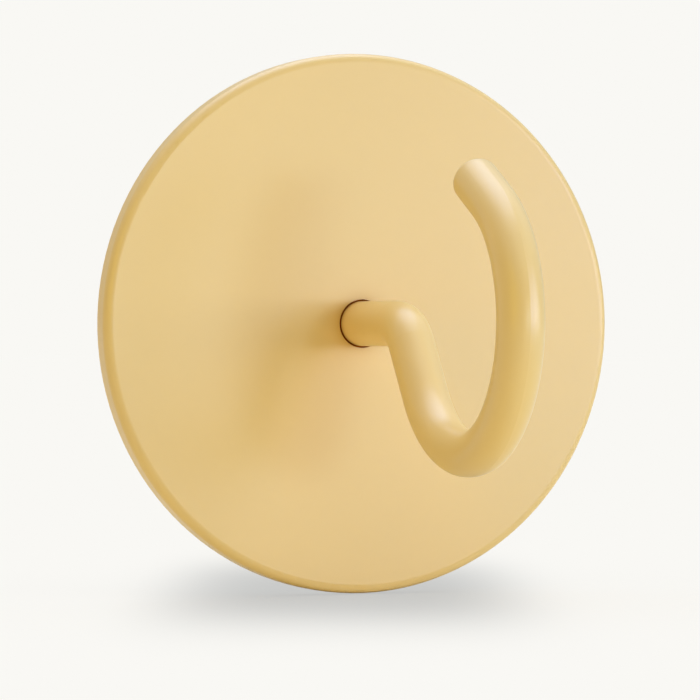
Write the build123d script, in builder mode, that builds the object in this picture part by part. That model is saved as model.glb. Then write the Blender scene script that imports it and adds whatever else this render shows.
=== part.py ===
from build123d import *
from math import radians, tan
import os

# An adhesive wall hook: a coated round plate, a bent round rod that stands in it,
# the screw that holds the rod from behind, and the foam pad that sticks the plate to a wall.
# The origin is the middle of the pad's wall side. +Y points into the wall, the hook
# reaches out along -Y, and +Z is up.

# Driving dimensions in millimetres, angles in degrees

pad_diameter = 56.0
pad_thickness = 1.0

plate_diameter = 60.0
plate_thickness = 3.0
front_edge_radius = 1.0
rear_edge_chamfer = 0.3

rod_diameter = 5.0
shank_length = 10.2      # from the plate's front face to the first bend
elbow_radius = 5.2       # bend radii run along the middle of the rod
elbow_turn = 54.5
drop_length = 6.85       # straight stretch between the two bends
bow_radius = 13.9
bow_turn = 206.0
tip_length = 5.5         # straight stretch behind the free end
tip_rounding = 0.7
seat_chamfer = 0.2

seat_diameter = 5.4      # recess in the plate's front that takes the rod
seat_depth = 1.0

screw_diameter = 3.0     # M3 countersunk socket screw
screw_length = 8.0
screw_head_diameter = 5.5
screw_head_angle = 90.0
screw_head_rim = 0.2
screw_end_chamfer = 0.4
screw_sink = 0.15        # the head lies this far below the plate's rear face
socket_across_flats = 2.0
socket_depth = 1.1
clearance_hole_diameter = 3.4
tapped_hole_depth = 7.5
drill_point_angle = 118.0

# Values that follow from them

plate_rear = pad_thickness
plate_front = plate_rear + plate_thickness
rod_end = plate_front - seat_depth
rod_radius = rod_diameter / 2
screw_radius = screw_diameter / 2
screw_head_radius = screw_head_diameter / 2
screw_top = plate_rear + screw_sink
head_cone_depth = (screw_head_radius - screw_radius) / tan(radians(screw_head_angle / 2))
drill_point_depth = screw_radius / tan(radians(drill_point_angle / 2))

# Planes: Plane.XZ faces the room, so an offset from it is a distance from the wall.
# In hook_plane, x is the distance from the wall and y is the height.

hook_plane = Plane(origin=(0, 0, 0), x_dir=(0, -1, 0), z_dir=(-1, 0, 0))
axle = Axis((0, 0, 0), (0, -1, 0))

# Adhesive pad: a disc of closed-cell foam tape, a little smaller than the plate

with BuildPart() as adhesive_pad:
    with BuildSketch(Plane.XZ):
        Circle(pad_diameter / 2)
    extrude(amount=pad_thickness)
adhesive_pad.part.label = "adhesive_pad"

# Back plate: a disc with a rounded front edge. A shallow recess in front takes the rod,
# and a countersunk hole from behind takes the screw.

with BuildPart() as back_plate:
    with BuildSketch(Plane.XZ.offset(plate_rear)):
        Circle(plate_diameter / 2)
    extrude(amount=plate_thickness)
    front_face = back_plate.faces().sort_by(axle)[-1]
    rear_face = back_plate.faces().sort_by(axle)[0]
    fillet(front_face.edges(), radius=front_edge_radius)
    chamfer(rear_face.edges(), length=rear_edge_chamfer)
    with Locations(Plane(back_plate.faces().sort_by(axle)[-1])):
        CounterBoreHole(
            radius=clearance_hole_diameter / 2,
            counter_bore_radius=seat_diameter / 2,
            counter_bore_depth=seat_depth,
        )
    # The countersink is the head's own cone, carried on to the rear face
    with BuildSketch(hook_plane):
        with BuildLine():
            Polyline(
                (plate_rear, 0),
                (plate_rear, screw_head_radius),
                (screw_top + screw_head_rim, screw_head_radius),
                (screw_top + screw_head_rim + head_cone_depth, screw_radius),
                (screw_top + screw_head_rim + head_cone_depth, 0),
                close=True,
            )
        make_face()
    revolve(axis=axle, mode=Mode.SUBTRACT)
back_plate.part.label = "back_plate"

# Hook rod: one round bar bent in one plane, as on a wire bender: straight, bend down,
# straight, bow round and up, straight. It is tapped at its seated end for the screw.

with BuildPart() as hook_rod:
    with BuildLine(hook_plane) as route:
        shank = Line((rod_end, 0), (plate_front + shank_length, 0))
        elbow = JernArc(shank @ 1, shank % 1, elbow_radius, -elbow_turn)
        drop = PolarLine(elbow @ 1, drop_length, direction=elbow % 1)
        bow = JernArc(drop @ 1, drop % 1, bow_radius, bow_turn)
        tip = PolarLine(bow @ 1, tip_length, direction=bow % 1)
    with BuildSketch(Plane(origin=shank @ 0, z_dir=shank % 0)):
        Circle(rod_radius)
    sweep()
    seat_end = hook_rod.faces().sort_by_distance(shank @ 0)[0]
    free_end = hook_rod.faces().sort_by_distance(tip @ 1)[0]
    chamfer(seat_end.edges(), length=seat_chamfer)
    fillet(free_end.edges(), radius=tip_rounding)
    with BuildSketch(hook_plane):
        with BuildLine():
            Polyline(
                (rod_end, 0),
                (rod_end, screw_radius),
                (rod_end + tapped_hole_depth, screw_radius),
                (rod_end + tapped_hole_depth + drill_point_depth, 0),
                close=True,
            )
        make_face()
    revolve(axis=axle, mode=Mode.SUBTRACT)
hook_rod.part.label = "hook_rod"

# Retaining screw: a countersunk head with a hexagon socket, and a plain shank where the
# thread would be. The cone seats in the plate, and the shank fills the rod's tapped hole.

with BuildPart() as retaining_screw:
    with BuildSketch(hook_plane):
        with BuildLine():
            Polyline(
                (screw_top, 0),
                (screw_top, screw_head_radius),
                (screw_top + screw_head_rim, screw_head_radius),
                (screw_top + screw_head_rim + head_cone_depth, screw_radius),
                (screw_top + screw_length - screw_end_chamfer, screw_radius),
                (screw_top + screw_length, screw_radius - screw_end_chamfer),
                (screw_top + screw_length, 0),
                close=True,
            )
        make_face()
    revolve(axis=axle)
    with BuildSketch(Plane.XZ.offset(screw_top)):
        RegularPolygon(
            radius=socket_across_flats / 2,
            side_count=6,
            major_radius=False,
        )
    extrude(amount=socket_depth, mode=Mode.SUBTRACT)
retaining_screw.part.label = "retaining_screw"

# Results

os.makedirs("parts", exist_ok=True)
export_step(adhesive_pad.part, "parts/adhesive_pad.step")
export_step(back_plate.part, "parts/back_plate.step")
export_step(hook_rod.part, "parts/hook_rod.step")
export_step(retaining_screw.part, "parts/retaining_screw.step")

reach = -hook_rod.part.bounding_box().min.Y
print(f"hook reach from the wall {reach:.2f} mm, rod length {route.wires()[0].length:.2f} mm")
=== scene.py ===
# %% [markdown]
# # A yellow adhesive hook
#
# The real object is a small wall hook: a round steel plate with foam tape on its back and
# a bent steel rod on its front. Plate and rod are powder coated in one soft yellow. The
# shape comes from the CAD part, so this lesson is about everything else: the camera, a pale
# studio, the soft light, a satin coat that looks sprayed and baked, and the foam tape.

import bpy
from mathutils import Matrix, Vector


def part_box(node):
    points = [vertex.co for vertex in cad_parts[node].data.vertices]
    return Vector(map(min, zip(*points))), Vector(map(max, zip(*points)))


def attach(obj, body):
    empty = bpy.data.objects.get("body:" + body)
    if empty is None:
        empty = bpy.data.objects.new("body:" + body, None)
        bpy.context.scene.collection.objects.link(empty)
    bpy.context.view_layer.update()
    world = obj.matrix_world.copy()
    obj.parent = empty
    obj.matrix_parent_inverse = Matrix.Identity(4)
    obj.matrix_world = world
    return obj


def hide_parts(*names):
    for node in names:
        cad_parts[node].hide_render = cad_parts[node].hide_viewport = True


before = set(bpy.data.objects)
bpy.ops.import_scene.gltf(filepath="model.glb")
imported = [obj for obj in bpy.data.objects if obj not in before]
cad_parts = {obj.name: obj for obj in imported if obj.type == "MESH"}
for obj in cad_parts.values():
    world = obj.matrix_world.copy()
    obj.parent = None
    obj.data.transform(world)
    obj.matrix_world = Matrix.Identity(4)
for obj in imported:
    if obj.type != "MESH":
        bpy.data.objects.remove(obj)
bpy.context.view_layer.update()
print("pieces:", sorted(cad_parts))

# %% [markdown]
# ## Where the hook sits
#
# The part's origin is in the middle of the face that sticks to the wall. The plate stands
# upright, its front looks along -Y, and its rim touches the ground 30 mm below the origin.
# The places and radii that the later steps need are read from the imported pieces, so that
# they can't drift away from the CAD.

# %% Measure the pieces
import math

import bmesh
import bpy
from mathutils import Vector, noise

scene = bpy.context.scene
plate_low, plate_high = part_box("back_plate")
rod_low, rod_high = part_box("hook_rod")
pad_low, pad_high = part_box("adhesive_pad")
rod_radius = (rod_high.x - rod_low.x) / 2
pad_radius = (pad_high.x - pad_low.x) / 2
face_centre = Vector((0, plate_low.y, 0))
print("plate width in mm:", round(1000 * (plate_high.x - plate_low.x), 2))
print("rod radius in mm:", round(1000 * rod_radius, 3))
print("front face at y in mm:", round(1000 * face_centre.y, 2))

# %% [markdown]
# ## The camera
#
# The photograph looks at the hook a little from its left, level with the middle of the
# plate. How much narrower the plate looks than it is tall gives the angle, and how fast the
# near parts grow gives the distance. A camera could be turned by typing angles, but it is
# easier to follow when it stands at a bearing and a distance and looks at a point.

# %% Stand the camera
BEARING = math.radians(-21.59)
DISTANCE = 0.46243
AIM_RIGHT = -0.00136
AIM_UP = -0.00293
LENS = 214.16
SENSOR = 36
NEAREST = 0.01
FARTHEST = 20


def add_object(name, data):
    """A new object in the scene."""
    made = bpy.data.objects.new(name, data)
    scene.collection.objects.link(made)
    return made


def look_at(thing, target):
    """Turn a camera or lamp so that it faces a point, with its top up."""
    thing.rotation_mode = "QUATERNION"
    thing.rotation_quaternion = (target - thing.location).to_track_quat("-Z", "Y")


def away(bearing, height, distance):
    """The point at a bearing and height, in radians, seen from the plate's front."""
    level = math.cos(height)
    return face_centre + distance * Vector(
        (math.sin(bearing) * level, -math.cos(bearing) * level, math.sin(height))
    )


sideways = Vector((math.cos(BEARING), math.sin(BEARING), 0))
forward = Vector((-math.sin(BEARING), math.cos(BEARING), 0))
camera_data = bpy.data.cameras.new("product_camera")
camera_data.sensor_width = SENSOR
camera_data.lens = LENS
camera_data.clip_start = NEAREST
camera_data.clip_end = FARTHEST
camera = add_object("product_camera", camera_data)
camera.location = away(BEARING, 0, DISTANCE)
look_at(camera, face_centre + AIM_RIGHT * sideways + Vector((0, 0, AIM_UP)))
scene.camera = camera
print("camera at", [round(c, 4) for c in camera.location])

# %% [markdown]
# ## Talking to shader nodes
#
# Blender builds a material from nodes and links. Wiring them by hand takes many lines, so
# here a socket is wrapped in a small class on which plain arithmetic works: writing
# `1 - mask` adds the Math node that does it. One method adds any other node. It takes the
# node's type, the settings that have to be there first, and what goes into its sockets.

# %% A small class for shader arithmetic


class Wire:
    """One output socket, with arithmetic that adds Math nodes."""

    def __init__(self, tree, socket):
        self.tree = tree
        self.socket = socket

    def node(self, kind, settings=None, inputs=None, output=0):
        return add_node(self.tree, kind, settings, inputs, output)

    def other(self, name):
        """Another output of the node that this one belongs to, by its identifier."""
        return Wire(self.tree, find_socket(self.socket.node.outputs, name))

    def math(self, operation, *values):
        return self.node("ShaderNodeMath", {"operation": operation}, dict(enumerate(values)))

    def __add__(self, other):
        return self.math("ADD", self, other)

    def __radd__(self, other):
        return self.math("ADD", other, self)

    def __sub__(self, other):
        return self.math("SUBTRACT", self, other)

    def __rsub__(self, other):
        return self.math("SUBTRACT", other, self)

    def __mul__(self, other):
        return self.math("MULTIPLY", self, other)

    def __rmul__(self, other):
        return self.math("MULTIPLY", other, self)


def find_socket(sockets, name):
    """A socket by its number, its name or its identifier."""
    if isinstance(name, int):
        return sockets[name]
    return next(s for s in sockets if name in (s.identifier, s.name))


def add_node(tree, kind, settings=None, inputs=None, output=0):
    """Add a node, set it up, feed its sockets and give back one of its outputs."""
    node = tree.nodes.new(kind)
    for name, value in (settings or {}).items():
        setattr(node, name, value)
    for name, value in (inputs or {}).items():
        socket = find_socket(node.inputs, name)
        if isinstance(value, Wire):
            tree.links.new(value.socket, socket)
        else:
            socket.default_value = value
    return Wire(tree, find_socket(node.outputs, output)) if len(node.outputs) else None


# %% [markdown]
# Three short helpers follow from it. One mixes two colours, because a Math node would turn
# them grey. One starts an empty material, and one closes it with the node that Blender
# takes a material's surface from.

# %% Colours and empty materials


def colour(rgb):
    return (*rgb, 1)


def blend(tree, factor, first, second):
    """A colour between two, by a factor. Each is three numbers or a wire."""
    ends = [end if isinstance(end, Wire) else colour(end) for end in (first, second)]
    mixed = add_node(
        tree,
        "ShaderNodeMix",
        {"data_type": "RGBA"},
        {"Factor": factor, "A_Color": ends[0], "B_Color": ends[1]},
    )
    return mixed.other("Result_Color")


def new_material(name):
    """An empty node material and its tree."""
    made = bpy.data.materials.new(name)
    made.use_nodes = True
    made.node_tree.nodes.clear()
    return made, made.node_tree


def finish_material(tree, shader):
    add_node(tree, "ShaderNodeOutputMaterial", inputs={"Surface": shader})


# %% [markdown]
# ## The pale studio
#
# The photograph has one warm white from edge to edge. A curved paper sweep could be
# modelled, but a floor and a world of the same colour meet without a visible line. The
# floor really is lit, so it keeps the hook's shadow. The camera and the reflections see
# its full white. The light that it throws back at the coat is a little weaker and warmer,
# and the far walls of the room, which only reflections reach, are a middle grey. They are
# brighter to the front right and the back left than in the other two corners, as the
# rod's two edges show.
#
# The photograph's shadow is a soft pool of one neutral grey, longer from front to back than
# to the sides. A real one is warm from the hook's own colour and much wider. So the camera
# sees paper that is partly lit and mostly glows by itself, which weakens the real shadow,
# and a grey pool is painted on it where the hook stands. The pool is laid out along the
# camera's own directions, sideways and forward, and has a middle, a reach and a steepness
# of edge for each.

# %% Floor
PAPER = (0.947, 0.938, 0.905)
BOUNCE = (0.80, 0.765, 0.56)
OWN_GLOW = 0.85
# The grey of the painted shadow under the plate.
PAINTED_SHADOW_GREY = (0.602, 0.606, 0.597)
POOL_MIDDLE = (-0.0006, 0.0048)
POOL_REACH = (0.0192, 0.0571)
POOL_EDGE = (4.5, 2.8)
FLOOR_HALF = 3.0
FLOOR_GAP = 0.0001


def plain_view(tree):
    """1 for rays from the camera, also through clear things, otherwise 0."""
    path = add_node(tree, "ShaderNodeLightPath")
    return path.other("Is Camera Ray") + path.other("Is Transmission Ray")


def shade_pool(tree):
    """1 in the middle of the painted shadow under the plate, fading to 0 round it."""
    place = add_node(tree, "ShaderNodeNewGeometry", output="Position")
    pool = 1.0
    for axis, middle, reach, edge in zip((sideways, forward), POOL_MIDDLE, POOL_REACH, POOL_EDGE):
        along = place.node(
            "ShaderNodeVectorMath", {"operation": "DOT_PRODUCT"}, {0: place, 1: axis}, "Value"
        )
        apart = along.math("ABSOLUTE", along - middle) * (1 / reach)
        pool = pool * along.math("EXPONENT", along.math("POWER", apart, edge) * -1)
    return pool


def paper_sweep():
    """Pale paper: lit from above, but mostly glowing by itself for the camera, with a painted shadow.
    """
    made, tree = new_material("paper_sweep")
    seen = plain_view(tree)
    mirrored = add_node(tree, "ShaderNodeLightPath").other("Is Glossy Ray")
    painted = blend(tree, shade_pool(tree), PAPER, PAINTED_SHADOW_GREY)
    shown = blend(tree, seen + mirrored, BOUNCE, painted)
    lit = add_node(tree, "ShaderNodeBsdfDiffuse", inputs={"Color": shown})
    glowing = add_node(tree, "ShaderNodeEmission", inputs={"Color": painted})
    both = {0: seen * OWN_GLOW, 1: lit, 2: glowing}
    finish_material(tree, add_node(tree, "ShaderNodeMixShader", inputs=both))
    return made


ground = plate_low.z - FLOOR_GAP
floor_mesh = bpy.data.meshes.new("studio_floor")
corners = [(-1, -1), (1, -1), (1, 1), (-1, 1)]
floor_mesh.from_pydata(
    [(FLOOR_HALF * x, FLOOR_HALF * y, ground) for x, y in corners], [], [(0, 1, 2, 3)]
)
floor_mesh.materials.append(paper_sweep())
floor = add_object("studio_floor", floor_mesh)

# %% [markdown]
# The world is the paper's white for the camera and lights nothing. Reflections see the
# walls, whose level follows from the product of a direction's X and Y: it is positive to
# the back right and the front left, where they are darker.

# %% World
WALLS = 0.55
WALL_CONTRAST = 0.75

world = bpy.data.worlds.new("studio_world")
scene.world = world
world.use_nodes = True
world_tree = world.node_tree
world_tree.nodes.clear()
glossy = add_node(world_tree, "ShaderNodeLightPath").other("Is Glossy Ray")
way = add_node(world_tree, "ShaderNodeTexCoord", output="Generated")
east = way.node("ShaderNodeSeparateXYZ", inputs={"Vector": way}, output="X")
corner = east * east.other("Y")
glow = plain_view(world_tree) + glossy * (WALLS - corner * WALL_CONTRAST)
background = add_node(
    world_tree, "ShaderNodeBackground", inputs={"Color": colour(PAPER), "Strength": glow}
)
add_node(world_tree, "ShaderNodeOutputWorld", inputs={"Surface": background})

# %% [markdown]
# ## Soft light
#
# Product pictures of small metal things use large soft boxes. The highlights on the rod
# say where they stood: a key box low to the right of the camera with a smaller one under
# it, one from the table's edge, a big one overhead and a weak one to the left. A small weak
# one in front throws the bow's soft shadow on the plate, above and below the shank. Near
# boxes give the slow change of shade across the plate, which far ones can't, and three wide
# patches of far sky fill the rest. The lamps are a touch cool and the floor a touch warm, so
# that lit parts look whiter and shaded parts look deeper.
#
# None of these lamps lights the paper, which has a plain white sky of its own. So the
# white of the picture doesn't change when a lamp on the hook is turned up or down.

# %% Soft boxes


def shine(lamp_data, level, power):
    """Set a lamp's colour and energy from one level each for red, green and blue."""
    strongest = max(level)
    lamp_data.color = [part / strongest for part in level]
    lamp_data.energy = strongest * power


def hang(lamp_data, bearing, height, distance):
    """Put a lamp at a bearing and height in degrees, facing the plate's middle."""
    lamp = add_object(lamp_data.name, lamp_data)
    lamp.location = away(math.radians(bearing), math.radians(height), distance)
    look_at(lamp, face_centre)
    lamp.visible_camera = False
    return lamp


def light_only(lamp, thing, state):
    """Let a lamp skip a thing, or light nothing else."""
    group = bpy.data.collections.new(lamp.name + "_reach")
    group.objects.link(thing)
    lamp.light_linking.receiver_collection = group
    group.collection_objects[0].light_linking.link_state = state


def soft_box(name, bearing, height, distance, size, level):
    """A disc lamp that lights what faces it as a white world of this level would."""
    box = bpy.data.lights.new(name, "AREA")
    box.shape = "DISK"
    box.size = size
    shine(box, level, (math.pi * distance) ** 2)
    light_only(hang(box, bearing, height, distance), floor, "EXCLUDE")
    print(f"{name}: {box.energy:.3f} W")


def far_sky(name, bearing, height, spread, level, state="EXCLUDE"):
    """A far round patch of sky, as many degrees wide as its spread."""
    patch = bpy.data.lights.new(name, "SUN")
    patch.angle = math.radians(spread)
    shine(patch, level, math.pi)
    light_only(hang(patch, bearing, height, 1.0), floor, state)


soft_box("key_box", 46, 9, 0.90, 0.60, (0.27, 0.311, 0.452))
soft_box("table_edge_box", 60, -12, 0.45, 0.30, (0.399, 0.404, 0.416))
soft_box("low_key_box", 36, -3, 0.45, 0.20, (0.085, 0.12, 0.218))
soft_box("front_box", 11, -1, 0.90, 0.23, (0.112, 0.142, 0.145))
soft_box("left_box", -50, 12, 0.45, 0.30, (0.19, 0.122, 0.0))
soft_box("top_box", 180, 80, 0.60, 0.70, (0.547, 0.571, 0.64))
far_sky("ceiling", 0, 90, 110, (0.292, 0.322, 0.366))
far_sky("back_right", 130, 30, 75, (0.10, 0.105, 0.125))
far_sky("top_glint", 155, 78, 40, (0.045, 0.085, 0.19))
far_sky("paper_light", 0, 90, 110, (1, 1, 1), "INCLUDE")

# %% [markdown]
# ## The powder coat
#
# The steel is sprayed with dry powder that melts in an oven into one tough satin skin. Up
# close such a skin isn't flat: it dries with a fine orange peel, its shade drifts a little
# with its thickness, and so does its gloss. Photographs of the real surface could be
# wrapped round the metal, but noise in the object's own space needs no unwrapping and has
# no seams, so the same recipe covers the plate and the rod.
#
# Powder doesn't reach into the narrow seat of the rod, where bare steel shows. Its dark
# brown there is partly the steel and partly painted shade for the deep gap. Round the seat's
# mouth the coat is painted a deeper tone, a painted shade where the rod and the recess shade
# it. Both follow from the distance to that mouth, which is a ring in the plate's front face.

# %% Coat recipe
COAT = (0.88, 0.62, 0.235)
COAT_IOR = 1.56
SHADE_SPREAD = 0.03
DRIFT_SHARE = 0.8
DRIFT_PER_METRE = 55
PEEL_PER_METRE = 700
PEEL_HEIGHT = 0.00002
PEEL_STRENGTH = 0.25
COAT_ROUGHNESS = 0.28
ROUGHNESS_DRIFT = 0.08
# Painted shade round the seat's mouth, and how far it reaches over the powder.
PAINTED_SEAT_SHADE = (0.74, 0.46, 0.12)
SEAT_SHADE_REACH = 0.0006
# Bare steel darkened with painted shade, inside the rod's recess.
BARE_STEEL_AND_SHADE = (0.62, 0.18, 0.01)
STEEL_EXTRA_ROUGHNESS = 0.4
SEAT_GAP = 0.0002
SEAT_LIP = 0.00004


def grain(place, per_metre, detail=2.0, roughness=0.5):
    """Noise in the object's own space, with so many patches to the metre."""
    return place.node(
        "ShaderNodeTexNoise",
        inputs={"Vector": place, "Scale": per_metre, "Detail": detail, "Roughness": roughness},
    )


def relief(height, distance, strength):
    """The fine slopes that a height pattern gives a surface."""
    return height.node(
        "ShaderNodeBump", inputs={"Strength": strength, "Distance": distance, "Height": height}
    )


def new_finish(name, recipe):
    """A material whose recipe turns the place on the surface into the shader's inputs."""
    made, tree = new_material(name)
    place = add_node(tree, "ShaderNodeTexCoord", output="Object")
    finish_material(tree, place.node("ShaderNodeBsdfPrincipled", inputs=recipe(place)))
    return made


def seat_masks(place):
    """1 inside the rod's recess, and 1 at its mouth, where painted shade fades out over the powder.
    """
    along = place.node("ShaderNodeSeparateXYZ", inputs={"Vector": place}, output="Y")
    flat = place.node("ShaderNodeVectorMath", {"operation": "MULTIPLY"}, {0: place, 1: (1, 0, 1)})
    reach = flat.node("ShaderNodeVectorMath", {"operation": "LENGTH"}, {0: flat}, "Value")
    deep = along.math("GREATER_THAN", along, face_centre.y + SEAT_LIP)
    inside = deep * reach.math("LESS_THAN", reach, rod_radius + 2 * SEAT_GAP)
    offset = reach.math("ABSOLUTE", reach - (rod_radius + SEAT_GAP / 2))
    beside = reach.math("MAXIMUM", offset - SEAT_GAP / 2, 0.0)
    before = along.math("MAXIMUM", face_centre.y - along, 0.0)
    return inside, along.math("EXPONENT", (beside + before) * (-1 / SEAT_SHADE_REACH))


def powder_coat(place):
    """Satin baked powder, with painted shade in and round the rod's seat."""
    peel = grain(place, PEEL_PER_METRE, roughness=0.45)
    drift = grain(place, DRIFT_PER_METRE, detail=3.0)
    seat, mouth = seat_masks(place)
    deeper, paler = (tuple(share * c for c in COAT) for share in (1 - SHADE_SPREAD, 1 + SHADE_SPREAD))
    powder = blend(place.tree, drift * DRIFT_SHARE + peel * (1 - DRIFT_SHARE), deeper, paler)
    # painted shade round the seat's mouth
    layer = blend(place.tree, mouth, powder, PAINTED_SEAT_SHADE)
    return {
        # inside the recess: bare steel with painted shade
        "Base Color": blend(place.tree, seat, layer, BARE_STEEL_AND_SHADE),
        "Metallic": seat,
        "Roughness": COAT_ROUGHNESS + drift * ROUGHNESS_DRIFT + seat * STEEL_EXTRA_ROUGHNESS,
        "Normal": relief(peel, PEEL_HEIGHT, PEEL_STRENGTH),
        "IOR": COAT_IOR,
    }


def dress(node, material):
    """Give a CAD piece its finish, in place of the materials that it had."""
    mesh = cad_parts[node].data
    mesh.materials.clear()
    mesh.materials.append(material)


dress("back_plate", new_finish("yellow_powder_plate", powder_coat))
dress("hook_rod", new_finish("yellow_powder_rod", powder_coat))

# %% [markdown]
# ## The zinc screw
#
# The screw that holds the rod comes from behind and hides under the tape. It is plated with
# zinc, a bluish bright grey with fine turning marks round its axis. Only its shade, its
# gloss and those marks are needed, so a metal shader with ring-shaped noise does it.

# %% Zinc finish
ZINC_DARK = (0.56, 0.58, 0.61)
ZINC_LIGHT = (0.70, 0.71, 0.72)
ZINC_ROUGHNESS = 0.28
ZINC_ROUGHNESS_SPREAD = 0.15
BLOTCHES_PER_METRE = 1500
TURNS_PER_METRE = 900
TURNING_DEPTH = 0.00001
TURNING_STRENGTH = 0.3


def zinc_plate(place):
    """Bright plated steel with turning marks."""
    turned = place.node(
        "ShaderNodeTexWave",
        {"wave_type": "RINGS", "rings_direction": "Y"},
        {"Vector": place, "Scale": TURNS_PER_METRE, "Distortion": 1.5, "Detail": 1.0},
    )
    blotch = grain(place, BLOTCHES_PER_METRE)
    return {
        "Base Color": blend(place.tree, blotch, ZINC_DARK, ZINC_LIGHT),
        "Metallic": 1.0,
        "Roughness": ZINC_ROUGHNESS + blotch * ZINC_ROUGHNESS_SPREAD,
        "Normal": relief(turned, TURNING_DEPTH, TURNING_STRENGTH),
    }


dress("retaining_screw", new_finish("zinc_plated_steel", zinc_plate))

# %% [markdown]
# ## The foam tape
#
# Behind the plate is a disc of closed-cell foam tape. The plate squeezes it, so its edge
# bulges a little between the two sticky faces and the cut is never quite round. A CAD disc
# has none of that, so a new mesh takes its place: rings of points from the middle outward,
# over a soft edge and back, with a slow wander in the edge's radius.

# %% Foam disc
TAPE_STEPS = 180
EDGE_STEPS = 8
FACE_RINGS = (0.35, 0.7)
BULGE_SHARE = 0.35
WANDER = 0.00025
WANDER_PACE = 4
WANDER_FADE = 4


def tape_profile():
    """Radius and depth of each ring, from the plate's side over the edge to the wall's."""
    thick = pad_high.y - pad_low.y
    middle = (pad_high.y + pad_low.y) / 2
    bulge = BULGE_SHARE * thick
    profile = [(share * pad_radius, pad_low.y) for share in FACE_RINGS]
    for step in range(EDGE_STEPS + 1):
        turn = math.pi * step / EDGE_STEPS
        reach = pad_radius - WANDER - bulge + bulge * math.sin(turn)
        profile.append((reach, middle - thick / 2 * math.cos(turn)))
    return profile + [(share * pad_radius, pad_high.y) for share in reversed(FACE_RINGS)]


def foam_disc():
    """A squeezed disc of foam in the place of the CAD pad, inside its box."""
    built = bmesh.new()
    rings = []
    for reach, depth in tape_profile():
        ring = []
        for step in range(TAPE_STEPS):
            turn = 2 * math.pi * step / TAPE_STEPS
            spot = Vector((math.cos(turn), math.sin(turn), 0))
            drift = noise.noise(WANDER_PACE * spot) * (reach / pad_radius) ** WANDER_FADE
            edge = reach + WANDER * drift
            ring.append(built.verts.new((edge * spot.x, depth, edge * spot.y)))
        rings.append(ring)
    for inner, outer in zip(rings, rings[1:]):
        for step in range(TAPE_STEPS):
            after = (step + 1) % TAPE_STEPS
            built.faces.new((inner[step], outer[step], outer[after], inner[after]))
    for ring, depth in ((rings[0], pad_low.y), (rings[-1], pad_high.y)):
        hub = built.verts.new((0, depth, 0))
        for step in range(TAPE_STEPS):
            built.faces.new((ring[step], ring[(step + 1) % TAPE_STEPS], hub))
    bmesh.ops.recalc_face_normals(built, faces=built.faces)
    mesh = bpy.data.meshes.new("foam_tape_disc")
    built.to_mesh(mesh)
    built.free()
    mesh.polygons.foreach_set("use_smooth", [True] * len(mesh.polygons))
    return add_object("foam_tape_disc", mesh)


# %% [markdown]
# The foam's cut cells show as a fine pitted grain, which a Voronoi pattern gives, and a
# slower cloud keeps its grey from looking printed.

# %% Foam finish
FOAM_DARK = (0.55, 0.55, 0.53)
FOAM_LIGHT = (0.78, 0.78, 0.75)
FOAM_ROUGHNESS = 0.75
FOAM_ROUGHNESS_SPREAD = 0.15
CELLS_PER_METRE = 2600
CLOUDS_PER_METRE = 120
CELL_DEPTH = 0.00008
CELL_STRENGTH = 0.5


def closed_cell_foam(place):
    """Matte foam with fine cells."""
    cells = place.node("ShaderNodeTexVoronoi", inputs={"Vector": place, "Scale": CELLS_PER_METRE})
    cloud = grain(place, CLOUDS_PER_METRE)
    return {
        "Base Color": blend(place.tree, cells * 0.5 + cloud * 0.5, FOAM_DARK, FOAM_LIGHT),
        "Roughness": FOAM_ROUGHNESS + cloud * FOAM_ROUGHNESS_SPREAD,
        "Normal": relief(cells, CELL_DEPTH, CELL_STRENGTH),
    }


tape = foam_disc()
tape.data.materials.append(new_finish("closed_cell_foam", closed_cell_foam))
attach(tape, "root")
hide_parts("adhesive_pad")
print("foam tape faces:", len(tape.data.polygons))

# %% [markdown]
# ## Picture settings
#
# The Standard view shows a colour as it is written, which is what a reusable part needs.
# The visual model may not be bigger than the CAD model.

scene.view_settings.view_transform = "Standard"
